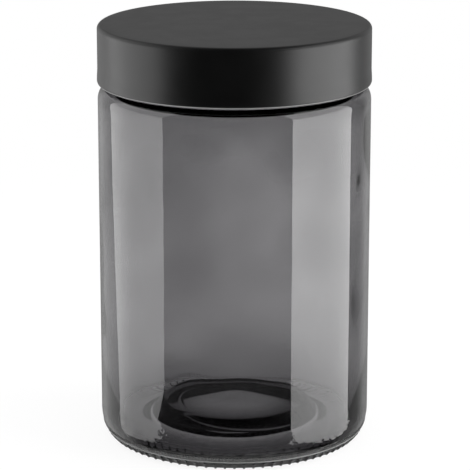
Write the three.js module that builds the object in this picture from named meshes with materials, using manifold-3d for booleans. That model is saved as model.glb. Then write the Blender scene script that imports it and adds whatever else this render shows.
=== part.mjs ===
// Storage canister: a smoked glass jar with a satin black screw lid.
// Millimetres, +Z up. The origin is on the jar's axis, at the surface that it stands on.

import * as THREE from 'three';
import { mergeVertices } from 'three/addons/utils/BufferGeometryUtils.js';
import Module from 'manifold-3d';

const wasm = await Module();
wasm.setup();

// Facets
const ROUND_FACETS = 48; // flats round every turned piece
const ARC_POINTS = 2; // half the steps in a profile's arcs
const SLOPE_STEPS = 5; // steps in a profile's eased slopes

// Glass body
const BODY_RADIUS = 50;
const BODY_WALL = 3.2;
const SHOULDER_HEIGHT = 132.5; // top of the glass shoulder, under the lid
const SHOULDER_RADIUS = 4;
const INNER_SHOULDER_DEPTH = 2.5; // from the shoulder down to its flat underside
const HEEL_HEIGHT = 10; // where the wall starts to curve in to the base
const HEEL_WIDTH = 5.4; // from the wall in to the bearing ring
const INNER_HEEL_HEIGHT = 16.8; // from the inside floor up to where the wall is even
const INNER_HEEL_WIDTH = 3.4; // how much the wall thickens down to the inside floor
const FLOOR_HEIGHT = 4.6; // inside floor round the foot of its dome
const DOME_INSET = 5; // from the floor's edge in to the dome's foot
const DOME_FLANK = 12.5; // width of the dome's slope
const DOME_RISE = 9.8;
const DIP_RADIUS = 16.5; // shallow dip in the dome's top
const DIP_DEPTH = 2.1;
const PUSH_UP = 9; // hollow under the middle of the base
const PUSH_UP_FLANK = 30; // width of the hollow's slope, from the bearing ring inwards

// Bearing ring that the jar stands on, with short radial bars
const BEARING_WIDTH = 4.4;
const BAR_COUNT = 84;
const BAR_INSET = 0.5; // bare ring at a bar's inner end
const BAR_REACH = 1.2; // how far a bar runs out past the ring, on to the heel
const BAR_WIDTH = 1.3;
const BAR_HEIGHT = 0.4;
const BAR_ROOT = 0.3; // depth that a bar reaches into the ring

// Neck and screw thread
const NECK_WALL = 3.5;
const RIM_ROUND = 1.2;
const THREAD_PITCH = 6;
const THREAD_DEPTH = 1.6;
const THREAD_BASE = 3; // width of a rib at the wall
const THREAD_CREST = 1.4; // width of a rib at its top
const THREAD_CLEARANCE = 0.6; // from a rib's top to the wall opposite
const THREAD_MARGIN = 1.2; // bare wall beyond each end of a rib
const THREAD_ROOT = 0.4; // depth that a rib reaches into its wall
const THREAD_RUN_OUT = Math.PI / 6; // turn over which a rib fades into its wall

// Lid
const LID_HEIGHT = 21.5;
const LID_GAP = 1; // from the shoulder to the lid's hem
const LID_EDGE_RADIUS = 1.6;
const SHEET = 0.5; // metal of the shell
const HEM_RADIUS = 0.75;
const HEM_PROUD = 0.2; // how far the rolled hem stands out from the side
const GLUE = 0.2; // film between the shell and the insert
const INSERT_WALL = 1.5;
const INSERT_TOP = 1.3;
const RIB_WALL = 1.3; // rib that centres the seal
const RIB_DEPTH = 3;
const RIB_CLEARANCE = 1.1; // from the rib to the jar's bore
const SEAL_THICKNESS = 1.5;
const SEAL_FIT = 0.15; // play of the seal in its seat
const SEAL_GAP = 0.3; // from the jar's rim to the seal

// Radii from the lid's outside inwards, so that the lid stays flush with the glass
const shellInside = BODY_RADIUS - SHEET;
const insertOutside = shellInside - GLUE;
const insertRoot = insertOutside - INSERT_WALL;
const neckCrest = insertRoot - THREAD_CLEARANCE;
const neckRadius = neckCrest - THREAD_DEPTH;
const boreRadius = neckRadius - NECK_WALL;
const bodyInside = BODY_RADIUS - BODY_WALL;
const ribOutside = boreRadius - RIB_CLEARANCE;
const bearingOutside = BODY_RADIUS - HEEL_WIDTH;
const bearingInside = bearingOutside - BEARING_WIDTH;
const shellCorner = LID_EDGE_RADIUS - SHEET; // rounding of the corner inside the shell

// Heights from the shoulder up to the lid's top, and from there down to the jar's rim
const lidBottom = SHOULDER_HEIGHT + LID_GAP;
const lidTop = lidBottom + LID_HEIGHT;
const insertTop = lidTop - SHEET - GLUE;
const insertCeiling = insertTop - INSERT_TOP;
const insertBottom = lidBottom + 2 * HEM_RADIUS + GLUE;
const sealTop = insertCeiling - SEAL_FIT;
const sealBottom = sealTop - SEAL_THICKNESS;
const rimHeight = sealBottom - SEAL_GAP;

// Middles of the thread ribs at their lower and upper ends
const ribInset = THREAD_MARGIN + THREAD_BASE / 2;
const neckThreadLow = SHOULDER_HEIGHT + ribInset;
const neckThreadHigh = rimHeight - RIM_ROUND - ribInset;
const insertThreadLow = insertBottom + ribInset;
const insertThreadHigh = sealBottom - ribInset;

// Turns a profile of (radius, height) points round the Z axis.
function turned(profile) {
  const geometry = new THREE.LatheGeometry(profile.getPoints(ARC_POINTS), ROUND_FACETS);
  return geometry.rotateX(Math.PI / 2);
}

// A closed geometry as a solid that can be joined to others.
function solidOf(geometry) {
  const bare = geometry.clone();
  bare.deleteAttribute('normal');
  bare.deleteAttribute('uv');
  const merged = mergeVertices(bare);
  const corners = merged.index.array;
  const kept = [];
  for (let i = 0; i < corners.length; i += 3) {
    const [a, b, c] = corners.slice(i, i + 3);
    if (a !== b && b !== c && c !== a) kept.push(a, b, c);
  }
  return new wasm.Manifold(new wasm.Mesh({
    numProp: 3,
    vertProperties: merged.attributes.position.array,
    triVerts: new Uint32Array(kept),
  }));
}

// A solid's surface as a geometry for a mesh.
function geometryOf(solid) {
  const { vertProperties, triVerts } = solid.getMesh();
  const geometry = new THREE.BufferGeometry();
  geometry.setAttribute('position', new THREE.BufferAttribute(vertProperties, 3));
  geometry.setIndex(new THREE.BufferAttribute(triVerts, 1));
  geometry.computeVertexNormals();
  return geometry;
}

// A right-hand thread rib on a round wall, outwards (side 1) or inwards (side -1). It is a straight
// bar of the rib's section, whose length is then wound round the wall.
function threadRib(wallRadius, side, low, high, startAngle) {
  const section = new THREE.Shape([
    new THREE.Vector2(-THREAD_BASE / 2, -THREAD_ROOT),
    new THREE.Vector2(THREAD_BASE / 2, -THREAD_ROOT),
    new THREE.Vector2(THREAD_CREST / 2, THREAD_DEPTH),
    new THREE.Vector2(-THREAD_CREST / 2, THREAD_DEPTH),
  ]);
  const sweep = (high - low) / THREAD_PITCH * 2 * Math.PI;
  const steps = Math.ceil(sweep / (2 * Math.PI) * ROUND_FACETS);
  const rib = new THREE.ExtrudeGeometry(section, { depth: sweep, steps, bevelEnabled: false });
  const place = rib.attributes.position;
  for (let i = 0; i < place.count; i += 1) {
    const along = place.getZ(i);
    const toEnd = Math.min(along, sweep - along);
    const raised = THREE.MathUtils.smoothstep(toEnd, 0, THREAD_RUN_OUT);
    const sectionY = place.getY(i);
    const out = sectionY > 0 ? THREE.MathUtils.lerp(-THREAD_ROOT / 2, sectionY, raised) : sectionY;
    const radius = wallRadius + side * out;
    const angle = startAngle + along;
    const height = low + along / (2 * Math.PI) * THREAD_PITCH + side * place.getX(i);
    place.setXYZ(i, radius * Math.cos(angle), radius * Math.sin(angle), height);
  }
  return solidOf(rib);
}

// Adds an eased slope to a profile: level at both ends, and steepest half-way.
function slopeTo(profile, radius, height) {
  const from = profile.currentPoint.clone();
  for (let i = 1; i <= SLOPE_STEPS; i += 1) {
    const share = i / SLOPE_STEPS;
    profile.lineTo(
      THREE.MathUtils.lerp(from.x, radius, share),
      THREE.MathUtils.lerp(from.y, height, THREE.MathUtils.smoothstep(share, 0, 1)),
    );
  }
}

// The glass in section: under the base, up the outside, over the rim and down the inside.
function jarProfile() {
  const shoulder = Math.min(SHOULDER_RADIUS, BODY_RADIUS - neckRadius);
  const innerShoulder = SHOULDER_HEIGHT - INNER_SHOULDER_DEPTH;
  const floorEdge = bodyInside - INNER_HEEL_WIDTH;
  const domeFoot = floorEdge - DOME_INSET;
  const domeTop = FLOOR_HEIGHT + DOME_RISE;
  const profile = new THREE.Path();
  profile.moveTo(0, PUSH_UP);
  profile.lineTo(bearingInside - PUSH_UP_FLANK, PUSH_UP);
  slopeTo(profile, bearingInside, BAR_HEIGHT);
  profile.lineTo(bearingOutside, BAR_HEIGHT);
  profile.absellipse(
    bearingOutside, HEEL_HEIGHT,
    HEEL_WIDTH, HEEL_HEIGHT - BAR_HEIGHT,
    -Math.PI / 2, 0,
  );
  profile.absarc(BODY_RADIUS - shoulder, SHOULDER_HEIGHT - shoulder, shoulder, 0, Math.PI / 2);
  profile.lineTo(neckRadius, SHOULDER_HEIGHT);
  profile.absarc(neckRadius - RIM_ROUND, rimHeight - RIM_ROUND, RIM_ROUND, 0, Math.PI / 2);
  profile.absarc(boreRadius + RIM_ROUND, rimHeight - RIM_ROUND, RIM_ROUND, Math.PI / 2, Math.PI);
  profile.lineTo(boreRadius, innerShoulder);
  profile.lineTo(bodyInside, innerShoulder);
  profile.absellipse(
    floorEdge, FLOOR_HEIGHT + INNER_HEEL_HEIGHT,
    INNER_HEEL_WIDTH, INNER_HEEL_HEIGHT,
    0, -Math.PI / 2, true,
  );
  profile.lineTo(domeFoot, FLOOR_HEIGHT);
  slopeTo(profile, domeFoot - DOME_FLANK, domeTop);
  profile.lineTo(DIP_RADIUS, domeTop);
  slopeTo(profile, 0, domeTop - DIP_DEPTH);
  return profile;
}

// The smoked glass jar: its turned body, the thread round its neck and the bars under its base.
function glassJar() {
  let jar = solidOf(turned(jarProfile()));
  jar = jar.add(threadRib(neckRadius, 1, neckThreadLow, neckThreadHigh, 0));
  const barStart = bearingInside + BAR_INSET;
  const barEnd = bearingOutside + BAR_REACH;
  const barTop = BAR_HEIGHT + BAR_ROOT;
  for (let i = 0; i < BAR_COUNT; i += 1) {
    const bar = new THREE.BoxGeometry(barEnd - barStart, BAR_WIDTH, barTop);
    bar.translate((barStart + barEnd) / 2, 0, barTop / 2);
    bar.rotateZ(i / BAR_COUNT * 2 * Math.PI);
    jar = jar.add(solidOf(bar));
  }
  const smokedGlass = new THREE.MeshStandardMaterial({
    color: 0x4a4b4f, roughness: 0.05, metalness: 0, transparent: true, opacity: 0.55,
  });
  return new THREE.Mesh(geometryOf(jar), smokedGlass);
}

// The drawn metal shell: flat top, rounded edge, straight side and a hem rolled round its lower edge.
function lidShell() {
  const hemCentre = BODY_RADIUS + HEM_PROUD - HEM_RADIUS;
  const hemHeight = lidBottom + HEM_RADIUS;
  const insideMeet = Math.acos((shellInside - hemCentre) / HEM_RADIUS);
  const outsideMeet = Math.acos((BODY_RADIUS - hemCentre) / HEM_RADIUS);
  const hemFoot = Math.PI * 3 / 2;
  const ceiling = lidTop - SHEET;
  const profile = new THREE.Path();
  profile.moveTo(0, ceiling);
  profile.lineTo(shellInside - shellCorner, ceiling);
  profile.absarc(shellInside - shellCorner, ceiling - shellCorner, shellCorner, Math.PI / 2, 0, true);
  profile.absarc(hemCentre, hemHeight, HEM_RADIUS, insideMeet, hemFoot);
  profile.absarc(hemCentre, hemHeight, HEM_RADIUS, hemFoot, outsideMeet + 2 * Math.PI);
  profile.absarc(
    BODY_RADIUS - LID_EDGE_RADIUS, lidTop - LID_EDGE_RADIUS, LID_EDGE_RADIUS,
    0, Math.PI / 2,
  );
  profile.lineTo(0, lidTop);
  const satinBlackPaint = new THREE.MeshStandardMaterial({
    color: 0x17171a, roughness: 0.42, metalness: 0.1,
  });
  return new THREE.Mesh(turned(profile), satinBlackPaint);
}

// The moulded inner cap, glued in the shell above its hem. It carries the thread and the seal's rib.
function lidInsert() {
  const ribInside = ribOutside - RIB_WALL;
  const ribBottom = insertCeiling - RIB_DEPTH;
  const profile = new THREE.Path();
  profile.moveTo(0, insertCeiling);
  profile.lineTo(ribInside, insertCeiling);
  profile.lineTo(ribInside, ribBottom);
  profile.lineTo(ribOutside, ribBottom);
  profile.lineTo(ribOutside, insertCeiling);
  profile.lineTo(insertRoot, insertCeiling);
  profile.lineTo(insertRoot, insertBottom);
  profile.lineTo(insertOutside, insertBottom);
  // The chamfer is as large as the shell's corner, so it clears it.
  profile.lineTo(insertOutside, insertTop - shellCorner);
  profile.lineTo(insertOutside - shellCorner, insertTop);
  profile.lineTo(0, insertTop);
  // Half a pitch from the jar's rib, so that each rib runs in the other's groove.
  const offset = insertThreadLow - neckThreadLow - THREAD_PITCH / 2;
  const startAngle = offset / THREAD_PITCH * 2 * Math.PI;
  const thread = threadRib(insertRoot, -1, insertThreadLow, insertThreadHigh, startAngle);
  const insert = solidOf(turned(profile)).add(thread);
  const blackPlastic = new THREE.MeshStandardMaterial({ color: 0x1b1b1d, roughness: 0.6, metalness: 0 });
  return new THREE.Mesh(geometryOf(insert), blackPlastic);
}

// The flat silicone ring between the insert's rib and its wall.
function sealingRing() {
  const inside = ribOutside + SEAL_FIT;
  const outside = insertRoot - SEAL_FIT;
  const profile = new THREE.Path();
  profile.moveTo(inside, sealBottom);
  profile.lineTo(outside, sealBottom);
  profile.lineTo(outside, sealTop);
  profile.lineTo(inside, sealTop);
  profile.closePath();
  const silicone = new THREE.MeshStandardMaterial({ color: 0xd8d8d4, roughness: 0.7, metalness: 0 });
  return new THREE.Mesh(turned(profile), silicone);
}

const canister = new THREE.Group();
const pieces = {
  glass_jar: glassJar(),
  lid_shell: lidShell(),
  lid_insert: lidInsert(),
  sealing_ring: sealingRing(),
};
for (const [name, piece] of Object.entries(pieces)) {
  piece.name = name;
  canister.add(piece);
}

export default canister;
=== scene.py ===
# %% [markdown]
# # A smoked-glass canister with a satin black screw lid
# A real jar like this is blown glass with a screw neck. Its lid is a drawn metal shell over a moulded
# inner cap that holds a flat seal. All four are round, so one rule makes them all: draw half of the
# section and turn it about the jar's axis. The frame gives the true sizes, and this script adds what
# the eye needs: smooth curves, ripples in the glass, paint and light.

# %% Load the frame
import math

import bmesh
import bpy
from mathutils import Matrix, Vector


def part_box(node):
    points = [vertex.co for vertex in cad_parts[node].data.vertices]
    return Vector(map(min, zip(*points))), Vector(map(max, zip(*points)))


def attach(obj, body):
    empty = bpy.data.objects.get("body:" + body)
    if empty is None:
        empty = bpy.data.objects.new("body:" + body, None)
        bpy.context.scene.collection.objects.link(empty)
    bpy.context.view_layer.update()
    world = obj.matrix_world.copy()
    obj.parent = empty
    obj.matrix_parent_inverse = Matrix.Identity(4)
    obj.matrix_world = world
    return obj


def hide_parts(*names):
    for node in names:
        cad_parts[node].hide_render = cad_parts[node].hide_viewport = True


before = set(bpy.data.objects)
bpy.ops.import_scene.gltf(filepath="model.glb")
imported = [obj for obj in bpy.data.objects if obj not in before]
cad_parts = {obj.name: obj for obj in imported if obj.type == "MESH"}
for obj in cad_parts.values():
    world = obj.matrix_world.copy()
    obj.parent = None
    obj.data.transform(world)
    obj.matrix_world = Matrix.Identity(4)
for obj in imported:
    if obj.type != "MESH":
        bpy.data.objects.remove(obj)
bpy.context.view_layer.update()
MM = 0.001


# %% [markdown]
# ## Sizes
# The heights and radii that pieces share come from the frame's own boxes, so the glass and the lid meet
# where the solids do. The sizes of one piece alone are written once, where that piece is made.

# %% Sizes from the frame
jar_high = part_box("glass_jar")[1]
shell_low, shell_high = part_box("lid_shell")
insert_low, insert_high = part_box("lid_insert")
seal_low, seal_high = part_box("sealing_ring")

BODY_RADIUS = jar_high.x
RIM_HEIGHT = jar_high.z
LID_BOTTOM, LID_TOP = shell_low.z, shell_high.z
HEM_RADIUS = shell_high.x
INSERT_BOTTOM, INSERT_TOP = insert_low.z, insert_high.z
INSERT_RADIUS = insert_high.x
SEAL_BOTTOM, SEAL_TOP = seal_low.z, seal_high.z
SEAL_RADIUS = seal_high.x

LID_GAP = 1.0 * MM
SHOULDER_HEIGHT = LID_BOTTOM - LID_GAP
SEAL_FIT = 0.15 * MM
INSERT_ROOT = SEAL_RADIUS + SEAL_FIT
THREAD_DEPTH = 1.6 * MM
THREAD_CLEARANCE = 0.6 * MM
THREAD_PITCH = 6.0 * MM
NECK_RADIUS = INSERT_ROOT - THREAD_CLEARANCE - THREAD_DEPTH
NECK_WALL = 3.5 * MM
BORE_RADIUS = NECK_RADIUS - NECK_WALL
print("neck radius", round(NECK_RADIUS / MM, 2), "bore radius", round(BORE_RADIUS / MM, 2), "mm")

# %% [markdown]
# ## Drawing a section
# A section is a list of corners. Each corner has a place, and how far before and after it the line
# leaves the straight to round it off. The rounding is a quarter of an ellipse, so a heel that is taller
# than it is wide takes one corner. Straight stretches get a point every few millimetres, which later
# steps can move.

# %% Section helpers
ROUND_STEPS = 10
PLAIN_STEP = 2.5 * MM


def corner(radius, height, before=0.0, after=None, step=PLAIN_STEP):
    """One corner of a section: its place, its rounding, and the spacing of points on the way to it."""
    return Vector((radius, height)), before, before if after is None else after, step


def rounding(previous, place, following, before, after):
    """Points of the quarter ellipse that rounds a corner."""
    if before == 0.0:
        return [place]
    arriving = (place - previous).normalized()
    leaving = (following - place).normalized()
    points = []
    for i in range(ROUND_STEPS + 1):
        turn = i / ROUND_STEPS * math.pi / 2
        start = arriving * before * (1 - math.sin(turn))
        points.append(place - start + leaving * after * (1 - math.cos(turn)))
    return points


def between(start, end, step):
    """Evenly spaced points on the straight from start to end, without its ends."""
    count = max(1, round((end - start).length / step))
    return [start.lerp(end, i / count) for i in range(1, count)]


def section(corners, closed=False):
    """The section's points, from its corners."""
    points = []
    for i, (place, before, after, step) in enumerate(corners):
        following = corners[(i + 1) % len(corners)][0]
        bend = rounding(corners[i - 1][0], place, following, before, after)
        if points:
            points.extend(between(points[-1], bend[0], step))
        points.extend(bend)
    if closed:
        points.extend(between(points[-1], points[0], PLAIN_STEP))
    return points


def section_object(name, points, closed=False):
    """A mesh of edges alone, drawn in the XZ plane."""
    edges = [(i, i + 1) for i in range(len(points) - 1)]
    if closed:
        edges.append((len(points) - 1, 0))
    mesh = bpy.data.meshes.new(name)
    mesh.from_pydata([(point.x, 0.0, point.y) for point in points], edges, [])
    drawn = bpy.data.objects.new(name, mesh)
    bpy.context.scene.collection.objects.link(drawn)
    print(name, "section:", len(points), "points")
    return drawn


# %% [markdown]
# ## Node trees
# Geometry Nodes are built here by code. A few helpers keep that short: one makes a tree with named
# inputs, one adds a node, and one does arithmetic between sockets. A modifier's inputs are set by the
# sockets' identifiers, which is why the helper goes through the tree's interface.

# %% Node helpers
def put(tree, target, value):
    """Links a socket to an input, or writes a plain value into it."""
    if isinstance(value, bpy.types.NodeSocket):
        tree.links.new(value, target)
    else:
        target.default_value = value


def node(tree, kind, inputs=None, **settings):
    """Adds a node, sets its options, and fills the inputs that are given by name or number."""
    made = tree.nodes.new(kind)
    for name, value in settings.items():
        setattr(made, name, value)
    for key, value in (inputs or {}).items():
        put(tree, made.inputs[key], value)
    return made


def maths(tree, operation, *values):
    """One arithmetic step. The values are sockets or numbers."""
    return node(tree, "ShaderNodeMath", dict(enumerate(values)), operation=operation).outputs[0]


def product(tree, first, *others):
    """All the values multiplied together."""
    result = first
    for value in others:
        result = maths(tree, "MULTIPLY", result, value)
    return result


def eased(tree, value, low, high, out_low=0.0, out_high=1.0):
    """Eases a value from one range to another, and holds it beyond the range's ends."""
    inputs = {"Value": value, "From Min": low, "From Max": high, "To Min": out_low, "To Max": out_high}
    return node(tree, "ShaderNodeMapRange", inputs, interpolation_type="SMOOTHSTEP").outputs["Result"]


def distance(tree, x, y):
    """The length of (x, y)."""
    return maths(tree, "SQRT", maths(tree, "ADD", product(tree, x, x), product(tree, y, y)))


def geometry_tree(name, sockets):
    """A Geometry Nodes tree with named inputs. Returns the tree and a lookup of its input sockets."""
    tree = bpy.data.node_groups.new(name, "GeometryNodeTree")
    tree.interface.new_socket("Geometry", in_out="OUTPUT", socket_type="NodeSocketGeometry")
    tree.interface.new_socket("Geometry", in_out="INPUT", socket_type="NodeSocketGeometry")
    for label, kind in sockets:
        tree.interface.new_socket(label, in_out="INPUT", socket_type=f"NodeSocket{kind}")
    return tree, tree.nodes.new("NodeGroupInput").outputs


def position(tree):
    """The X, Y and Z of each point."""
    place = node(tree, "GeometryNodeInputPosition").outputs[0]
    return node(tree, "ShaderNodeSeparateXYZ", {0: place}).outputs


def end_tree(tree, geometry, material):
    """Ends a tree: real geometry, smooth shading and a material."""
    real = node(tree, "GeometryNodeRealizeInstances", {"Geometry": geometry})
    smooth = node(tree, "GeometryNodeSetShadeSmooth", {"Geometry": real.outputs[0]})
    shaded = node(tree, "GeometryNodeSetMaterial", {"Geometry": smooth.outputs[0], "Material": material})
    node(tree, "NodeGroupOutput", {"Geometry": shaded.outputs[0]})
    print("tree:", tree.name, "with", len(tree.nodes), "nodes")


def add_tree(thing, tree, values):
    """Puts a tree on an object as a modifier, with its inputs set by identifier."""
    modifier = thing.modifiers.new(tree.name, "NODES")
    modifier.node_group = tree
    for item in tree.interface.items_tree:
        if item.in_out == "INPUT" and item.name in values:
            modifier[item.identifier] = values[item.name]


def baked(thing, name):
    """Turns an object and its modifiers into a plain mesh object with its faces outwards."""
    depsgraph = bpy.context.evaluated_depsgraph_get()
    mesh = bpy.data.meshes.new_from_object(thing.evaluated_get(depsgraph))
    bpy.data.objects.remove(thing)
    work = bmesh.new()
    work.from_mesh(mesh)
    bmesh.ops.recalc_face_normals(work, faces=work.faces)
    open_edges = sum(not edge.is_manifold for edge in work.edges)
    volume = work.calc_volume(signed=True) / MM ** 3 / 1000
    work.to_mesh(mesh)
    work.free()
    mesh.name = name
    piece = bpy.data.objects.new(name, mesh)
    bpy.context.scene.collection.objects.link(piece)
    print(f"{name}: {len(mesh.polygons)} faces, {open_edges} open edges, {volume:.1f} ml")
    return piece


def fit(piece, body, stands_for):
    """Makes a finished piece ride on its body and stand for its solid."""
    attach(piece, body)
    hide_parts(stands_for)


# %% [markdown]
# ## Turning
# On the real object a mould or a lathe gives the round shape. Here a circle is the path and the section
# is swept along it. The nodes first move the section so that its own axis falls on the circle's centre.
# Points on the axis come out once for every facet, so they are merged into one pole.

# %% Tree: turned piece
POLE_MERGE = 0.001 * MM

turning, given = geometry_tree("turned piece", [
    ("Facets", "Int"), ("Reach", "Float"), ("Material", "Material"),
])
x, _, z = position(turning)
swept = node(turning, "ShaderNodeCombineXYZ", {
    "X": maths(turning, "SUBTRACT", x, given["Reach"]), "Y": maths(turning, "MULTIPLY", z, -1.0),
})
drawn = node(turning, "GeometryNodeSetPosition", {
    "Geometry": given["Geometry"], "Position": swept.outputs[0],
})
line = node(turning, "GeometryNodeMeshToCurve", {"Mesh": drawn.outputs[0]})
circle = node(turning, "GeometryNodeCurvePrimitiveCircle", {
    "Resolution": given["Facets"], "Radius": given["Reach"],
})
skin = node(turning, "GeometryNodeCurveToMesh", {
    "Curve": circle.outputs["Curve"], "Profile Curve": line.outputs["Curve"],
})
whole = node(turning, "GeometryNodeMergeByDistance", {
    "Geometry": skin.outputs["Mesh"], "Distance": POLE_MERGE,
})
outward = node(turning, "GeometryNodeFlipFaces", {"Mesh": whole.outputs[0]})
end_tree(turning, outward.outputs[0], given["Material"])

# %% [markdown]
# ## Screw thread
# A thread could be a separate coil joined to the neck, but a seam inside clear glass would show. So the
# wall itself is raised: each point finds how far it is from a helix, in height, and moves out by a
# ridge's section. The ridge fades at both ends, as a moulded thread does.

# %% Tree: screw thread
TURN = 2 * math.pi
RUN_OUT_TURNS = 0.09
WALL_TOLERANCE = 0.05 * MM

threading, given = geometry_tree("screw thread", [
    ("Wall radius", "Float"), ("Depth", "Float"), ("Pitch", "Float"), ("Low", "Float"), ("High", "Float"),
    ("Start angle", "Float"), ("Crest", "Float"), ("Base", "Float"), ("Material", "Material"),
])
x, y, z = position(threading)
radius = distance(threading, x, y)
angle = maths(threading, "SUBTRACT", maths(threading, "ARCTAN2", y, x), given["Start angle"])
part_turn = maths(threading, "DIVIDE", angle, TURN)
rise = maths(threading, "DIVIDE", maths(threading, "SUBTRACT", z, given["Low"]), given["Pitch"])
coil = maths(threading, "ROUND", maths(threading, "SUBTRACT", rise, part_turn))
along = maths(threading, "ADD", coil, part_turn)
turns_off = maths(threading, "ABSOLUTE", maths(threading, "SUBTRACT", rise, along))
height_off = maths(threading, "MULTIPLY", turns_off, given["Pitch"])
half_crest = maths(threading, "MULTIPLY", given["Crest"], 0.5)
half_base = maths(threading, "MULTIPLY", given["Base"], 0.5)
ridge = eased(threading, height_off, half_base, half_crest)
climb = maths(threading, "SUBTRACT", given["High"], given["Low"])
all_turns = maths(threading, "DIVIDE", climb, given["Pitch"])
fade_in = eased(threading, along, 0.0, RUN_OUT_TURNS)
fade_out = eased(threading, maths(threading, "SUBTRACT", all_turns, along), 0.0, RUN_OUT_TURNS)
on_wall = maths(threading, "COMPARE", radius, given["Wall radius"], WALL_TOLERANCE)
lift = product(threading, ridge, on_wall, fade_in, fade_out, given["Depth"])
share = maths(threading, "DIVIDE", lift, radius)
shift = node(threading, "ShaderNodeCombineXYZ", {
    "X": product(threading, x, share), "Y": product(threading, y, share),
})
raised = node(threading, "GeometryNodeSetPosition", {
    "Geometry": given["Geometry"], "Offset": shift.outputs[0],
})
end_tree(threading, raised.outputs[0], given["Material"])

# %% [markdown]
# ## Blown glass
# Glass that is blown into a mould copies it outside, but inside nothing shapes it: the wall wanders by
# tenths of a millimetre, and more glass settles on one side of the base. Through a coloured wall that
# shows as soft clouds. The mould's closing plate leaves a fine raised circle under the base, and it is
# seldom quite central. A bump in the material couldn't do this, since the glass has to be thicker.

# %% Tree: blown glass
blowing, given = geometry_tree("blown glass", [
    ("Outer radius", "Float"), ("Wall", "Float"), ("Top", "Float"), ("Cloud size", "Float"),
    ("Inside wander", "Float"), ("Outside wander", "Float"), ("Base lean", "Float"),
    ("Mark radius", "Float"), ("Mark shift", "Float"), ("Mark height", "Float"), ("Mark width", "Float"),
    ("Material", "Material"),
])
BASE_TOP, WALL_START = 26.0 * MM, 46.0 * MM
TOP_FADE = 10.0 * MM
CLOUD_SEED, CLOUD_DETAIL = 43.9, 1.0
INSIDE_FACING, UNDER_FACING = -0.1, -0.5
LEAN_EDGE, LEAN_AT_EDGE = (34.0 * MM, 46.8 * MM), 0.4
normal = node(blowing, "GeometryNodeInputNormal").outputs[0]
facing = node(blowing, "ShaderNodeSeparateXYZ", {0: normal}).outputs["Z"]
x, y, z = position(blowing)
radius = distance(blowing, x, y)
half_wall = maths(blowing, "MULTIPLY", given["Wall"], 0.5)
mid_wall = maths(blowing, "SUBTRACT", given["Outer radius"], half_wall)
is_outside = maths(blowing, "GREATER_THAN", radius, mid_wall)
is_within = maths(blowing, "SUBTRACT", 1.0, is_outside)
is_inside = product(blowing, is_within, maths(blowing, "GREATER_THAN", facing, INSIDE_FACING))
is_under = product(blowing, is_within, maths(blowing, "LESS_THAN", facing, UNDER_FACING))
below_neck = eased(blowing, z, given["Top"], maths(blowing, "SUBTRACT", given["Top"], TOP_FADE))
above_heel = eased(blowing, z, BASE_TOP, WALL_START)
places = node(blowing, "ShaderNodeVectorMath", {
    0: node(blowing, "GeometryNodeInputPosition").outputs[0], 1: (CLOUD_SEED, CLOUD_SEED, CLOUD_SEED),
}, operation="ADD")
clouds = node(blowing, "ShaderNodeTexNoise", {
    "Vector": places.outputs[0], "Scale": maths(blowing, "DIVIDE", 1.0, given["Cloud size"]),
    "Detail": CLOUD_DETAIL,
}).outputs["Fac"]
wander = maths(blowing, "SUBTRACT", clouds, 0.5)
inside_move = product(blowing, wander, is_inside, below_neck, above_heel, given["Inside wander"])
outside_move = product(blowing, wander, is_outside, below_neck, above_heel, given["Outside wander"])
along_normal = node(blowing, "ShaderNodeVectorMath", {
    0: normal, 3: maths(blowing, "ADD", inside_move, outside_move),
}, operation="SCALE")
on_base = eased(blowing, z, WALL_START, BASE_TOP)
off_edge = eased(blowing, radius, *LEAN_EDGE, 1.0, LEAN_AT_EDGE)
lean = product(blowing, y, given["Base lean"], is_inside, on_base, off_edge)
from_mark = distance(blowing, maths(blowing, "SUBTRACT", x, given["Mark shift"]), y)
mark_off = maths(blowing, "ABSOLUTE", maths(blowing, "SUBTRACT", from_mark, given["Mark radius"]))
mark = product(blowing, eased(blowing, mark_off, given["Mark width"], 0.0), is_under, given["Mark height"])
upright = node(blowing, "ShaderNodeCombineXYZ", {"Z": maths(blowing, "SUBTRACT", lean, mark)})
moved = node(blowing, "ShaderNodeVectorMath", {
    0: along_normal.outputs[0], 1: upright.outputs[0],
}, operation="ADD")
blown = node(blowing, "GeometryNodeSetPosition", {
    "Geometry": given["Geometry"], "Offset": moved.outputs[0],
})
end_tree(blowing, blown.outputs[0], given["Material"])

# %% [markdown]
# ## Bearing bars
# The ring that a glass jar stands on has a row of short bars, so that the hot glass doesn't stick and
# crack. They run a little way up the heel. One bar is a rod along the ring's section, thinner at its
# ends. The nodes set it round the axis, and a boolean joins the bars to the jar. Overlapping shells
# would leave surfaces inside the glass, and every one of those would show.

# %% Tree: bearing bars
barring, given = geometry_tree("bearing bars", [
    ("Bar path", "Object"), ("Count", "Int"), ("Bar radius", "Float"), ("Material", "Material"),
])
BAR_SIDES = 8
BAR_TAPER, BAR_END = 0.5, 0.3
path = node(barring, "GeometryNodeObjectInfo", {"Object": given["Bar path"]}).outputs["Geometry"]
rod = node(barring, "GeometryNodeMeshToCurve", {"Mesh": path}).outputs["Curve"]
along = node(barring, "GeometryNodeSplineParameter").outputs["Factor"]
from_middle = maths(barring, "ABSOLUTE", maths(barring, "SUBTRACT", product(barring, along, 2.0), 1.0))
from_end = maths(barring, "SUBTRACT", 1.0, from_middle)
taper = eased(barring, from_end, 0.0, BAR_TAPER, BAR_END, 1.0)
shaped = node(barring, "GeometryNodeSetCurveRadius", {"Curve": rod, "Radius": taper})
round_bar = node(barring, "GeometryNodeCurvePrimitiveCircle", {
    "Resolution": BAR_SIDES, "Radius": given["Bar radius"],
})
one_bar = node(barring, "GeometryNodeCurveToMesh", {
    "Curve": shaped.outputs[0], "Profile Curve": round_bar.outputs["Curve"], "Fill Caps": True,
})
spots = node(barring, "GeometryNodeMeshLine", {"Count": given["Count"], "Offset": (0.0, 0.0, 0.0)})
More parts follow.
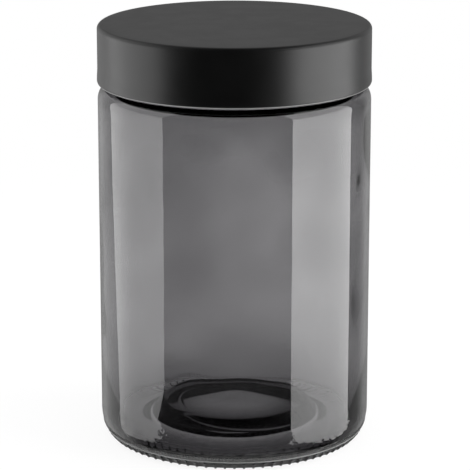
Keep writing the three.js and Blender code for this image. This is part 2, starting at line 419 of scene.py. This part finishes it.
share = maths(barring, "DIVIDE", node(barring, "GeometryNodeInputIndex").outputs[0], given["Count"])
turned = node(barring, "ShaderNodeCombineXYZ", {"Z": product(barring, share, TURN)})
bars = node(barring, "GeometryNodeInstanceOnPoints", {
    "Points": spots.outputs["Mesh"], "Instance": one_bar.outputs["Mesh"], "Rotation": turned.outputs[0],
})
real_bars = node(barring, "GeometryNodeRealizeInstances", {"Geometry": bars.outputs[0]})
joined = node(barring, "GeometryNodeMeshBoolean", {
    "Mesh 2": given["Geometry"],
}, operation="UNION", solver="MANIFOLD")
barring.links.new(real_bars.outputs[0], joined.inputs["Mesh 2"])
end_tree(barring, joined.outputs["Mesh"], given["Material"])

# %% [markdown]
# ## Smoked glass
# Smoked glass is coloured all through, so its darkness depends on how much glass the light crosses. A
# tinted surface would make every wall alike. A volume that absorbs light gets the thick base and the
# thin wall right by itself. Fired glass is smooth, so its roughness is zero wherever it isn't scuffed.

# %% Material: smoked glass
def material(name):
    """A new material, its tree and its Principled shader."""
    made = bpy.data.materials.new(name)
    made.use_nodes = True
    return made, made.node_tree, made.node_tree.nodes["Principled BSDF"]


NOISE_DETAIL = 3.0


def noise(tree, scale):
    """Noise on the piece's own coordinates, with the scale in cycles per metre."""
    coordinates = node(tree, "ShaderNodeTexCoord").outputs["Object"]
    inputs = {"Vector": coordinates, "Scale": scale, "Detail": NOISE_DETAIL}
    return node(tree, "ShaderNodeTexNoise", inputs).outputs["Fac"]


def object_place(tree):
    """The X, Y and Z of the piece's own coordinates, in a material."""
    coordinates = node(tree, "ShaderNodeTexCoord").outputs["Object"]
    return node(tree, "ShaderNodeSeparateXYZ", {0: coordinates}).outputs


GLASS_DENSITY = 275.0
GLASS_COLOUR = (0.06, 0.05, 0.07, 1.0)
GLASS_IOR = 1.52
smoked_glass, tree, shader = material("smoked_glass")
shader.inputs["Base Color"].default_value = (1.0, 1.0, 1.0, 1.0)
shader.inputs["IOR"].default_value = GLASS_IOR
smoke = node(tree, "ShaderNodeVolumeAbsorption", {"Color": GLASS_COLOUR, "Density": GLASS_DENSITY})
tree.links.new(smoke.outputs[0], tree.nodes["Material Output"].inputs["Volume"])
print("material:", smoked_glass.name)

# %% [markdown]
# ## Scuffs, a painted glint and ripples on the heel
# A jar's seam and the fine ticks over it rub on tables and on other jars, so they turn a little white and
# dull. Here the same places lose some clearness and gain roughness, found by their height and their angle
# round the axis. The white they gain is partly that scuffing and partly a painted highlight, standing in
# for the glint of the lamps on the seam's crest. Lines of colour alone would look flat. Just above, the
# outside is slightly uneven, as glass is where it met a cooler mould, and a bump is enough for that.

# %% Smoked glass: scuffed seam with a painted glint, and uneven heel
SCUFF_HEIGHT, SCUFF_WIDTH, SCUFF_CORE = 3.25 * MM, 0.3 * MM, 0.6
SCUFF_RADIUS = 46.0 * MM
SCUFF_AND_GLINT_WHITE, SCUFF_ROUGHNESS = 0.26, 0.4
TICKS, TICK_LOW, TICK_HIGH = 252, 3.8 * MM, 5.3 * MM
TICK_SCUFF_AND_GLINT, TICK_EDGE = 0.5, (0.1, 0.8)
RIPPLE_LOW, RIPPLE_HIGH = 9.0 * MM, 17.0 * MM
RIPPLE_SCALE, RIPPLE_HEIGHT = 220.0, 0.25 * MM
place = object_place(tree)
outside = maths(tree, "GREATER_THAN", distance(tree, place["X"], place["Y"]), SCUFF_RADIUS)
off_seam = maths(tree, "ABSOLUTE", maths(tree, "SUBTRACT", place["Z"], SCUFF_HEIGHT))
on_seam = eased(tree, off_seam, SCUFF_WIDTH, SCUFF_CORE * SCUFF_WIDTH)
angle = maths(tree, "ARCTAN2", place["Y"], place["X"])
crests = eased(tree, maths(tree, "COSINE", product(tree, angle, float(TICKS))), *TICK_EDGE)
tick_row = product(
    tree, eased(tree, place["Z"], TICK_LOW, TICK_LOW + SCUFF_WIDTH),
    eased(tree, place["Z"], TICK_HIGH, TICK_HIGH - SCUFF_WIDTH))
scuff_and_glint = product(tree, maths(tree, "MAXIMUM", on_seam, product(tree, crests, tick_row, TICK_SCUFF_AND_GLINT)), outside)
tree.links.new(product(tree, scuff_and_glint, SCUFF_ROUGHNESS), shader.inputs["Roughness"])
# The white that the seam and the ticks gain is partly scuffing and partly a painted highlight for the
# lamps' glint on the seam.
clear = maths(tree, "SUBTRACT", 1.0, product(tree, scuff_and_glint, SCUFF_AND_GLINT_WHITE))
tree.links.new(clear, shader.inputs["Transmission Weight"])
low_down = eased(tree, place["Z"], RIPPLE_HIGH, RIPPLE_LOW)
ripples = product(tree, noise(tree, RIPPLE_SCALE), low_down, outside, RIPPLE_HEIGHT)
uneven = node(tree, "ShaderNodeBump", {"Height": ripples, "Strength": 1.0, "Distance": 1.0})
tree.links.new(uneven.outputs[0], shader.inputs["Normal"])
print("scuffed seam", round(SCUFF_HEIGHT / MM, 2), "mm up")

# %% [markdown]
# ## Satin black paint, black plastic and silicone
# The shell's paint is nearly black with a soft shine: a rough coat with the fine orange peel that
# sprayed paint has. Round the hem's lower edge it turns to bare metal, partly as thin, worn paint and
# partly as a painted highlight, so that the edge shows as a bright line where the rounded hem catches the
# light.
# The inner cap is duller, with the grain of its mould. The seal is milky and soft.

# %% Materials: lid
WANDER_SCALE = 120.0
WANDER_RANGE = (0.3, 0.7)
ROUGHNESS_WANDER = 0.012
GRAIN_STRENGTH = 0.25


def grained(name, colour, second_colour, roughness, grain_scale, grain_height):
    """A paint or plastic: its colour and roughness wander a little, and its surface has a fine grain."""
    made, tree, shader = material(name)
    wander = noise(tree, WANDER_SCALE)
    mixed = node(tree, "ShaderNodeMix", data_type="RGBA")
    for socket, value in ((0, wander), (6, (*colour, 1.0)), (7, (*second_colour, 1.0))):
        put(tree, mixed.inputs[socket], value)
    tree.links.new(mixed.outputs[2], shader.inputs["Base Color"])
    smoothest, roughest = roughness - ROUGHNESS_WANDER, roughness + ROUGHNESS_WANDER
    tree.links.new(eased(tree, wander, *WANDER_RANGE, smoothest, roughest), shader.inputs["Roughness"])
    grain = node(tree, "ShaderNodeBump", {
        "Height": noise(tree, grain_scale), "Strength": GRAIN_STRENGTH, "Distance": grain_height,
    })
    tree.links.new(grain.outputs[0], shader.inputs["Normal"])
    print("material:", name)
    return made


satin_black = grained(
    "satin_black_paint", colour=(0.0016, 0.0016, 0.0017), second_colour=(0.0026, 0.0026, 0.0027),
    roughness=0.37, grain_scale=1600.0, grain_height=0.02 * MM)
black_plastic = grained(
    "black_plastic", colour=(0.009, 0.009, 0.0095), second_colour=(0.013, 0.013, 0.0135),
    roughness=0.5, grain_scale=2500.0, grain_height=0.03 * MM)
silicone = grained(
    "silicone", colour=(0.62, 0.62, 0.60), second_colour=(0.68, 0.68, 0.66),
    roughness=0.55, grain_scale=900.0, grain_height=0.02 * MM)

# %% Material: bare edge of the paint, partly a painted highlight
BARE_LOW, BARE_HIGH = 0.35 * MM, 0.7 * MM
BARE_METAL_AND_HIGHLIGHT = (0.42, 0.42, 0.42, 1.0)
PAINT_GLOSS = 0.4
tree = satin_black.node_tree
shader = tree.nodes["Principled BSDF"]
# Bare metal at the hem's foot: partly thin, worn paint, partly a painted highlight for the bright line the
# rounded hem shows.
bare_edge_and_highlight = eased(tree, object_place(tree)["Z"], LID_BOTTOM + BARE_HIGH, LID_BOTTOM + BARE_LOW)
painted = shader.inputs["Base Color"].links[0].from_socket
edge = node(tree, "ShaderNodeMix", data_type="RGBA")
for socket, value in ((0, bare_edge_and_highlight), (6, painted), (7, BARE_METAL_AND_HIGHLIGHT)):
    put(tree, edge.inputs[socket], value)
tree.links.new(edge.outputs[2], shader.inputs["Base Color"])
tree.links.new(bare_edge_and_highlight, shader.inputs["Metallic"])
shader.inputs["Specular IOR Level"].default_value = PAINT_GLOSS
print("bare edge up to", round(BARE_HIGH / MM, 2), "mm above the hem")

# %% [markdown]
# ## Glass jar
# The section runs under the base, up the outside, over the rim and down the inside. The base is pushed
# up: under it is a wide hollow with a smaller push-up that has an edge of its own, and inside is a dome
# with a flat top and a steep flank. That is what makes the dark crescents, because light that meets the
# flank at a low angle is turned back into the glass. Plain rules of the radius give both heights, so
# that each size can be tried by itself.

# %% Glass jar: base
RING_HEIGHT = 0.4 * MM
HEEL_WIDTH = 5.4 * MM
BEARING_WIDTH = 4.4 * MM
BEARING_OUTSIDE = BODY_RADIUS - HEEL_WIDTH
BEARING_INSIDE = BEARING_OUTSIDE - BEARING_WIDTH
FINE_STEP = 0.3 * MM
HOLLOW_STEP = 0.36 * MM
HOLLOW_RISE, HOLLOW_EDGE = 3.37 * MM, (28.9 * MM, 36.9 * MM)
PUSH_UP_RISE, PUSH_UP_RADIUS = 5.08 * MM, 25.4 * MM
PUSH_UP_CURVE = 2.78
FLOOR_LOW = 4.89 * MM
DOME_RISE, DOME_EDGE = 7.02 * MM, (26.6 * MM, 33.1 * MM)
CROWN_RISE, CROWN_RADIUS = 0.72 * MM, 19.3 * MM


def eased_fall(radius, start, end):
    """1 up to the start, 0 from the end on, and an even slope between."""
    share = min(max((radius - start) / (end - start), 0.0), 1.0)
    return 1.0 - share * share * (3.0 - 2.0 * share)


def under_base(radius):
    """Height of the hollow under the base: a wide rise, and on it a push-up with an edge of its own."""
    wide = HOLLOW_RISE * eased_fall(radius, *HOLLOW_EDGE)
    push_up = PUSH_UP_RISE * (1.0 - min(radius / PUSH_UP_RADIUS, 1.0) ** PUSH_UP_CURVE)
    return RING_HEIGHT + wide + push_up


def inside_floor(radius):
    """Height of the floor inside: a flat-topped dome with a slight crown."""
    dome = DOME_RISE * eased_fall(radius, *DOME_EDGE)
    return FLOOR_LOW + dome + CROWN_RISE * eased_fall(radius, 0.0, CROWN_RADIUS)


def dome_points(height_at, start, end, step):
    """Points of a dome's section from one radius to another."""
    count = round(abs(end - start) / step)
    radii = [start + (end - start) * i / count for i in range(count + 1)]
    return [Vector((radius, height_at(radius))) for radius in radii]


for radius in (0.0, 12 * MM, 24 * MM, 36 * MM):
    thickness = inside_floor(radius) - under_base(radius)
    print("base", round(thickness / MM, 1), "mm thick at", round(radius / MM), "mm from the axis")

# %% [markdown]
# ## Heel
# The outside turns in to the bearing ring on part of an ellipse, and then on a cone that the bars run
# over. The mould has a separate plate for the base, and where it closes, between the two, it leaves a
# fine seam round the heel, with a row of fine ticks over it. Points are close together here, so that the
# seam stays sharp. The bars and the ticks each get a path along the section, sunk a little into the glass.

# %% Glass jar: heel and bar path
HEEL_HEIGHT = 9.6 * MM
HEEL_STEPS = 64
RING_OUTSIDE = 46.0 * MM
CONE_STEPS, RING_STEPS = 8, 4
SEAM_HEIGHT = 3.3 * MM
SEAM_WIDTH = 0.25 * MM
SEAM_PROUD = 0.1 * MM
BAR_RADIUS = 0.6 * MM
BAR_START = 41.2 * MM


def heel_points():
    """The heel's section from the bearing ring over the cone and the seam up to the wall."""
    curve = []
    for i in range(HEEL_STEPS + 1):
        turn = i / HEEL_STEPS * math.pi / 2
        height = RING_HEIGHT + HEEL_HEIGHT * (1 - math.cos(turn))
        seam = SEAM_PROUD * max(0.0, 1 - abs(height - SEAM_HEIGHT) / SEAM_WIDTH)
        if height > SEAM_HEIGHT - SEAM_WIDTH:
            curve.append(Vector((BEARING_OUTSIDE + HEEL_WIDTH * math.sin(turn) + seam, height - seam / 2)))
    ring_edge = Vector((RING_OUTSIDE, RING_HEIGHT))
    return [ring_edge.lerp(curve[0], i / CONE_STEPS) for i in range(CONE_STEPS)] + curve


heel = heel_points()
sunk = Vector((0.0, BAR_RADIUS - RING_HEIGHT))
bar_inside = Vector((BAR_START, RING_HEIGHT))
on_ring = [bar_inside.lerp(heel[0], i / RING_STEPS) for i in range(RING_STEPS + 1)]
on_cone = heel[2:CONE_STEPS:2]
bar_path = section_object("bar_path", [point + sunk for point in on_ring + on_cone])

# %% Glass jar: tick path
TICK_RADIUS, TICK_PROUD = 0.34 * MM, 0.22 * MM
INTO_THE_GLASS = Vector((-0.93, 0.37))
inwards = INTO_THE_GLASS * (TICK_RADIUS - TICK_PROUD)
tick_points = [point + inwards for point in heel if TICK_LOW < point.y < TICK_HIGH]
tick_path = section_object("tick_path", tick_points)

# %% [markdown]
# ## Wall and neck
# Blown glass gathers low down, so the inside narrows slowly towards the floor over the jar's lower
# third. At the top the shoulder turns in to the neck, which the lid hides. Corners with long roundings
# give all of this, and the base's and the heel's points are put before and after them.

# %% Glass jar: section
WALL = 3.2 * MM
LOW_WALL = 3.07 * MM
INNER_HEEL_WIDTH = 4.36 * MM
INNER_HEEL_HEIGHT = 29.9 * MM
SHOULDER_ROUND = (5.0 * MM, 4.2 * MM)
SHOULDER_THICKNESS = 3.2 * MM
SHOULDER_INSIDE = (1.6 * MM, 14.0 * MM)
WALL_TAPER, TAPER_ROUND = 60.0 * MM, 20.0 * MM
NECK_FOOT = (0.1 * MM, 0.6 * MM)
RIM_ROUND, BORE_ROUND = 1.2 * MM, 0.8 * MM
FLOOR_STEP = 0.8 * MM
under_shoulder = SHOULDER_HEIGHT - SHOULDER_THICKNESS
low_inside = BODY_RADIUS - LOW_WALL
floor_edge = low_inside - INNER_HEEL_WIDTH

outside_and_rim = section([
    corner(BODY_RADIUS, RING_HEIGHT + HEEL_HEIGHT),
    corner(BODY_RADIUS, SHOULDER_HEIGHT, *SHOULDER_ROUND),
    corner(NECK_RADIUS, SHOULDER_HEIGHT, *NECK_FOOT),
    corner(NECK_RADIUS, RIM_HEIGHT, RIM_ROUND, step=FINE_STEP),
    corner(BORE_RADIUS, RIM_HEIGHT, RIM_ROUND),
    corner(BORE_RADIUS, under_shoulder, BORE_ROUND),
    corner(BODY_RADIUS - WALL, under_shoulder, *SHOULDER_INSIDE),
    corner(BODY_RADIUS - WALL, WALL_TAPER, TAPER_ROUND),
    corner(low_inside, inside_floor(floor_edge), INNER_HEEL_HEIGHT, INNER_HEEL_WIDTH),
    corner(floor_edge, inside_floor(floor_edge)),
])
hollow = dome_points(under_base, 0.0, BEARING_INSIDE, HOLLOW_STEP)
floor_inside = dome_points(inside_floor, floor_edge, 0.0, FLOOR_STEP)
jar_section = section_object("jar_section", hollow + heel[:-1] + outside_and_rim[:-1] + floor_inside)

# %% [markdown]
# ## From section to jar
# The trees go on the section in the order of the work: turn it, raise the thread, let the glass wander,
# and join the bars and the ticks. Then the result becomes a plain mesh that stands for the jar's solid.

# %% Glass jar: turned, threaded, blown and barred
FACETS = 192
THREAD_MARGIN = 1.2 * MM
THREAD_BASE = 3.0 * MM
THREAD_CREST = 1.0 * MM
BAR_COUNT = 84
rib_inset = THREAD_MARGIN + THREAD_BASE / 2
neck_thread_low = SHOULDER_HEIGHT + rib_inset
neck_thread_high = RIM_HEIGHT - RIM_ROUND - rib_inset

add_tree(jar_section, turning, {"Facets": FACETS, "Reach": BODY_RADIUS, "Material": smoked_glass})
add_tree(jar_section, threading, {
    "Wall radius": NECK_RADIUS, "Depth": THREAD_DEPTH, "Pitch": THREAD_PITCH,
    "Low": neck_thread_low, "High": neck_thread_high, "Start angle": 0.0,
    "Crest": THREAD_CREST, "Base": THREAD_BASE, "Material": smoked_glass,
})
add_tree(jar_section, blowing, {
    "Outer radius": BODY_RADIUS, "Wall": WALL, "Top": under_shoulder, "Cloud size": 28.0 * MM,
    "Inside wander": 2.0 * MM, "Outside wander": 0.1 * MM, "Base lean": -0.020,
    "Mark radius": 23.5 * MM, "Mark shift": 3.0 * MM, "Mark height": 0.35 * MM, "Mark width": 0.6 * MM,
    "Material": smoked_glass,
})
for path, count, thickness in ((bar_path, BAR_COUNT, BAR_RADIUS), (tick_path, TICKS, TICK_RADIUS)):
    add_tree(jar_section, barring, {
        "Bar path": path, "Count": count, "Bar radius": thickness, "Material": smoked_glass,
    })
jar = baked(jar_section, "jar_glass")
for path in (bar_path, tick_path):
    bpy.data.objects.remove(path)
fit(jar, "jar", "glass_jar")

# %% [markdown]
# ## Lid shell
# A drawn cap of thin sheet with a flat top. Its section goes along the underside of the top, down the
# inside, round the rolled hem and up the outside. The hem is a little proud of the side, and its foot
# is round, which is where it catches the light.

# %% Lid shell
SHEET = 0.5 * MM
HEM_WIDTH = 1.5 * MM
HEM_HEIGHT = 2.4 * MM
TOP_EDGE = 1.6 * MM
SHEET_FOLD = 0.1 * MM
HEM_INNER_TOP, HEM_INNER_FOOT = (0.5 * MM, 0.7 * MM), 0.7 * MM
HEM_FOOT, HEM_SWELL, HEM_TOP = (0.78 * MM, 1.2 * MM), 1.0 * MM, 1.2 * MM
shell_inside = BODY_RADIUS - SHEET
hem_inside = HEM_RADIUS - HEM_WIDTH
inner_hem_top = LID_BOTTOM + HEM_WIDTH
shell_corners = [
    corner(0.0, LID_TOP - SHEET),
    corner(shell_inside, LID_TOP - SHEET, TOP_EDGE - SHEET),
    corner(shell_inside, inner_hem_top, SHEET_FOLD),
    corner(hem_inside, inner_hem_top, *HEM_INNER_TOP),
    corner(hem_inside, LID_BOTTOM, HEM_INNER_FOOT),
    corner(HEM_RADIUS, LID_BOTTOM, *HEM_FOOT),
    corner(HEM_RADIUS, LID_BOTTOM + HEM_HEIGHT, HEM_SWELL),
    corner(BODY_RADIUS, LID_BOTTOM + 2 * HEM_HEIGHT, HEM_TOP),
    corner(BODY_RADIUS, LID_TOP, TOP_EDGE),
    corner(0.0, LID_TOP),
]
shell_section = section_object("shell_section", section(shell_corners))
add_tree(shell_section, turning, {"Facets": FACETS, "Reach": BODY_RADIUS, "Material": satin_black})
shell = baked(shell_section, "lid_cover")
fit(shell, "lid", "lid_shell")

# %% [markdown]
# ## Inner cap
# The moulded cap is glued in the shell. It carries the thread that runs in the jar's, half a pitch
# away, and a rib that centres the seal. The thread is the jar's tree again, with the depth turned round.

# %% Inner cap
INSERT_PLATE = 1.3 * MM
RIB_WALL = 1.3 * MM
RIB_DEPTH = 3.0 * MM
RIB_CLEARANCE = 1.1 * MM
EDGE = 0.3 * MM
rib_outside = BORE_RADIUS - RIB_CLEARANCE
rib_inside = rib_outside - RIB_WALL
ceiling = INSERT_TOP - INSERT_PLATE
insert_corners = [
    corner(0.0, ceiling),
    corner(rib_inside, ceiling, EDGE),
    corner(rib_inside, ceiling - RIB_DEPTH, EDGE),
    corner(rib_outside, ceiling - RIB_DEPTH, EDGE),
    corner(rib_outside, ceiling, EDGE),
    corner(INSERT_ROOT, ceiling, EDGE),
    corner(INSERT_ROOT, INSERT_BOTTOM, EDGE, step=FINE_STEP),
    corner(INSERT_RADIUS, INSERT_BOTTOM, EDGE),
    corner(INSERT_RADIUS, INSERT_TOP, TOP_EDGE - SHEET),
    corner(0.0, INSERT_TOP),
]
insert_section = section_object("insert_section", section(insert_corners))
insert_thread_low = INSERT_BOTTOM + rib_inset
insert_thread_high = SEAL_BOTTOM - rib_inset
thread_offset = insert_thread_low - neck_thread_low - THREAD_PITCH / 2
add_tree(insert_section, turning, {"Facets": FACETS, "Reach": BODY_RADIUS, "Material": black_plastic})
add_tree(insert_section, threading, {
    "Wall radius": INSERT_ROOT, "Depth": -THREAD_DEPTH, "Pitch": THREAD_PITCH,
    "Low": insert_thread_low, "High": insert_thread_high,
    "Start angle": thread_offset / THREAD_PITCH * TURN,
    "Crest": THREAD_CREST, "Base": THREAD_BASE, "Material": black_plastic,
})
insert = baked(insert_section, "lid_inner_cap")
fit(insert, "lid", "lid_insert")

# %% [markdown]
# ## Sealing ring
# A flat ring cut or moulded from silicone. Its section is closed, so the sweep makes a ring by itself.

# %% Sealing ring
seal_inside = rib_outside + SEAL_FIT
seal_corners = [
    corner(seal_inside, SEAL_BOTTOM, EDGE),
    corner(SEAL_RADIUS, SEAL_BOTTOM, EDGE),
    corner(SEAL_RADIUS, SEAL_TOP, EDGE),
    corner(seal_inside, SEAL_TOP, EDGE),
]
seal_section = section_object("seal_section", section(seal_corners, closed=True), closed=True)
add_tree(seal_section, turning, {"Facets": FACETS, "Reach": BODY_RADIUS, "Material": silicone})
seal = baked(seal_section, "seal_ring")
fit(seal, "seal", "sealing_ring")

# %% [markdown]
# ## Floor
# The floor is pale and plain. For the camera, and through the glass, most of its brightness is its own,
# so that it stays white as a lit table does, and the rest is lit by the lamps, so that it keeps the
# object's shadow. Further out it is all its own, and meets the white background without a line. The part
# in front is dark to light that has been mirrored inside the glass, because a dark room lies there.

# %% Floor
FLOOR_HALF = 6.0
SHADOW_SHARE = 0.2
PLAIN_LEVEL = 0.7
SHADOW_REACH = (0.15, 0.5)
DARK_FRONT = (-0.055, -0.075)
FLOOR_COLOUR, FLOOR_ROUGHNESS = (0.85, 0.85, 0.85, 1.0), 0.9
corners = [(x * FLOOR_HALF, y * FLOOR_HALF, 0.0) for x, y in ((-1, -1), (1, -1), (1, 1), (-1, 1))]
floor_mesh = bpy.data.meshes.new("floor")
floor_mesh.from_pydata(corners, [], [(0, 1, 2, 3)])
floor = bpy.data.objects.new("floor", floor_mesh)
bpy.context.scene.collection.objects.link(floor)
floor.visible_glossy = False
pale, tree, shader = material("pale_floor")
shader.inputs["Base Color"].default_value = FLOOR_COLOUR
shader.inputs["Roughness"].default_value = FLOOR_ROUGHNESS
place = object_place(tree)
shadow_share = eased(tree, distance(tree, place["X"], place["Y"]), *SHADOW_REACH, SHADOW_SHARE, 0.0)
rays = node(tree, "ShaderNodeLightPath").outputs
seen = maths(tree, "MAXIMUM", rays["Is Camera Ray"], rays["Is Transmission Ray"])
reflected = maths(tree, "MINIMUM", rays["Glossy Depth"], 1.0)
dark_front = product(tree, reflected, eased(tree, place["Y"], *DARK_FRONT))
own_level = maths(tree, "SUBTRACT", 1.0, product(tree, shadow_share, PLAIN_LEVEL))
own_light = node(tree, "ShaderNodeEmission", {
    "Color": (1, 1, 1, 1), "Strength": product(tree, own_level, maths(tree, "SUBTRACT", 1.0, dark_front)),
})
lit = node(tree, "ShaderNodeMixShader", {0: shadow_share, 2: shader.outputs[0]})
white = node(tree, "ShaderNodeAddShader", {0: own_light.outputs[0], 1: lit.outputs[0]})
mixed = node(tree, "ShaderNodeMixShader", {0: seen, 1: shader.outputs[0], 2: white.outputs[0]})
tree.links.new(mixed.outputs[0], tree.nodes["Material Output"].inputs["Surface"])
floor_mesh.materials.append(pale)
print("floor:", FLOOR_HALF * 2, "m wide")

# %% [markdown]
# ## Shade under the jar
# A table is darker under a jar, and the lowest edge of the heel mirrors that. The floor here glows by
# itself, so it would never be dark there. A grey disc that only reflections can see puts it right,
# and it works from every side.

# %% Shade under the jar
SHADE_RADIUS = 47.5 * MM
SHADE_SIDES = 96
SHADE_DEPTH = 0.02 * MM
SHADE_LEVEL = 0.45
turns = [TURN * i / SHADE_SIDES for i in range(SHADE_SIDES)]
rim = [(SHADE_RADIUS * math.cos(turn), SHADE_RADIUS * math.sin(turn), -SHADE_DEPTH) for turn in turns]
shade_mesh = bpy.data.meshes.new("jar_shade")
shade_mesh.from_pydata(rim, [], [range(SHADE_SIDES)])
shade = bpy.data.objects.new("jar_shade", shade_mesh)
bpy.context.scene.collection.objects.link(shade)
for kind in ("camera", "diffuse", "transmission", "volume_scatter", "shadow"):
    setattr(shade, "visible_" + kind, False)
shaded, tree, shader = material("floor_shade")
glow = node(tree, "ShaderNodeEmission", {"Color": (1, 1, 1, 1), "Strength": SHADE_LEVEL})
tree.links.new(glow.outputs[0], tree.nodes["Material Output"].inputs["Surface"])
shade_mesh.materials.append(shaded)
print("shade:", round(SHADE_RADIUS / MM, 1), "mm in radius")

# %% [markdown]
# ## Light
# Glass and satin black are shown by what they reflect: two tall soft boxes at the sides, a dark room
# behind the camera, and a pale wall behind the object. The world gives the plain level of light. It is
# white only where the camera sees it, directly or through the glass. The world's Light Path tells apart
# what is seen, mirrored or looked at through the glass.

# %% World
AMBIENT = 0.65
BACK_LEVEL = 0.35
LEFT_LEVEL, RIGHT_LEVEL = 0.8, 0.6
RIGHT_FADE = (0.5, 0.8)
FAR_RIGHT_SHARE = 0.5
BELOW_LEVEL = 1.3
SIDE_START, SIDE_FULL = 0.2, 0.55
BEHIND, FRONT = (0.0, 0.5), (0.1, -0.1)
BELOW, STRAIGHT_DOWN = (-0.6, -0.85), (-0.995, -0.95)
HORIZON = (0.0, 0.12)
world = bpy.data.worlds.new("studio")
bpy.context.scene.world = world
world.use_nodes = True
tree = world.node_tree
coordinates = node(tree, "ShaderNodeTexCoord").outputs["Generated"]
direction = node(tree, "ShaderNodeSeparateXYZ", {0: coordinates}).outputs
rays = node(tree, "ShaderNodeLightPath").outputs
to_left = eased(tree, direction["X"], -SIDE_START, -SIDE_FULL, BACK_LEVEL, LEFT_LEVEL)
right_fade = eased(tree, direction["X"], *RIGHT_FADE, 1.0, FAR_RIGHT_SHARE)
near_right = eased(tree, direction["X"], SIDE_START, SIDE_FULL, BACK_LEVEL, RIGHT_LEVEL)
to_right = product(tree, near_right, right_fade)
behind = product(tree, maths(tree, "MAXIMUM", to_left, to_right), eased(tree, direction["Y"], *BEHIND))
floor_light = eased(tree, direction["Z"], *BELOW, 0.0, BELOW_LEVEL)
below = product(tree, floor_light, eased(tree, direction["Z"], *STRAIGHT_DOWN))
mirrored = maths(tree, "MAXIMUM", behind, below)
above = eased(tree, direction["Z"], *HORIZON, 1.0, BACK_LEVEL)
reflected = maths(tree, "MINIMUM", rays["Glossy Depth"], 1.0)
in_front = product(tree, reflected, eased(tree, direction["Y"], *FRONT))
not_front = maths(tree, "SUBTRACT", 1.0, in_front)
through = product(tree, above, not_front)
plain = node(tree, "ShaderNodeMix", {
    "Factor": rays["Is Glossy Ray"], "A": AMBIENT, "B": mirrored,
}).outputs[0]
bent = node(tree, "ShaderNodeMix", {
    "Factor": rays["Is Transmission Ray"], "A": plain, "B": through,
}).outputs[0]
level = node(tree, "ShaderNodeMix", {"Factor": rays["Is Camera Ray"], "A": bent, "B": 1.0})
sky = tree.nodes["Background"]
tree.links.new(level.outputs[0], sky.inputs["Strength"])
sky.inputs["Color"].default_value = (1.0, 1.0, 1.0, 1.0)

# %% [markdown]
# ## Soft boxes
# Each box is one area lamp whose brightness changes over its face, by nodes that read where on the lamp
# a point is. It is brightest at its near edge, weaker at its foot, and dim near the top, so that the lid
# stays black from the sides. Cards at the foot trim its corners, which rounds the ends of the strips
# that the glass mirrors.

# %% Soft boxes
BOX_DISTANCE = 0.5
BOX_LOW, BOX_HIGH = -0.26, 0.8
FOOT_FADE = (0.04, 0.2)
FOOT_LEVEL = 0.7
TOP_DIMMING, TOP_LEVEL = (0.45, 0.55), 0.45
FAR_CARD, NEAR_CARD = (0.03, 0.26), (0.088, 0.108)


def soft_box(name, side, near, far, near_level, far_level, near_cut, far_cut):
    """A tall lamp panel beside the object. Its brightness changes from its near edge to its far edge.
    The cuts are the shares of its width that a card takes off each edge at the foot."""
    lamp = bpy.data.lights.new(name, "AREA")
    lamp.shape = "RECTANGLE"
    lamp.size = far - near
    lamp.size_y = BOX_HIGH - BOX_LOW
    lamp.energy = math.pi * lamp.size * lamp.size_y
    lamp.use_nodes = True
    tree = lamp.node_tree
    on_lamp = node(tree, "ShaderNodeNewGeometry").outputs["Parametric"]
    across, up, _ = node(tree, "ShaderNodeSeparateXYZ", {0: on_lamp}).outputs
    from_far = across if side < 0 else maths(tree, "SUBTRACT", 1.0, across)
    inputs = {"Value": from_far, "To Min": far_level, "To Max": near_level}
    level = node(tree, "ShaderNodeMapRange", inputs).outputs["Result"]
    from_foot = eased(tree, up, *FOOT_FADE, FOOT_LEVEL, 1.0)
    dimmed = eased(tree, up, *TOP_DIMMING, 1.0, TOP_LEVEL)
    far_clear = maths(tree, "GREATER_THAN", from_far, eased(tree, up, *FAR_CARD, far_cut, 0.0))
    near_clear = maths(tree, "LESS_THAN", from_far, eased(tree, up, *NEAR_CARD, 1.0 - near_cut, 1.0))
    shown = product(tree, level, from_foot, dimmed, far_clear, near_clear)
    tree.links.new(shown, tree.nodes["Emission"].inputs["Strength"])
    thing = bpy.data.objects.new(name, lamp)
    thing.location = (side * BOX_DISTANCE, (near + far) / 2, (BOX_LOW + BOX_HIGH) / 2)
    thing.rotation_euler = (math.pi / 2, 0.0, side * math.pi / 2)
    bpy.context.scene.collection.objects.link(thing)
    thing.visible_camera = False
    thing.visible_transmission = False
    print(name, "energy", round(lamp.energy, 2))


soft_box(
    "left_box", side=-1, near=-0.295, far=0.315, near_level=2.9, far_level=1.9, near_cut=0.17, far_cut=0.23)
soft_box(
    "right_box", side=1, near=-0.46, far=0.185, near_level=5.0, far_level=3.8, near_cut=0.0, far_cut=0.0)

# %% [markdown]
# ## Camera
# A long lens from a little above, as for a catalogue picture. The distance and tilt were worked out
# from how the lid's ellipse, the hem and the heel sit in the picture.

# %% Camera
IMAGE_SIDE = 470
FOCAL_PIXELS = 2509.0
SENSOR = 36.0
CAMERA_PLACE, CAMERA_TILT = (0.0002, -0.9, 0.3166), 15.01
FAR_CLIP = 50.0
camera_data = bpy.data.cameras.new("camera")
camera_data.sensor_width = SENSOR
camera_data.lens = FOCAL_PIXELS / IMAGE_SIDE * SENSOR
camera_data.clip_end = FAR_CLIP
camera = bpy.data.objects.new("camera", camera_data)
camera.location = CAMERA_PLACE
camera.rotation_euler = (math.radians(90 - CAMERA_TILT), 0.0, 0.0)
bpy.context.scene.collection.objects.link(camera)
bpy.context.scene.camera = camera
print("lens", round(camera_data.lens, 1), "mm")

bpy.context.scene.view_settings.view_transform = "Standard"
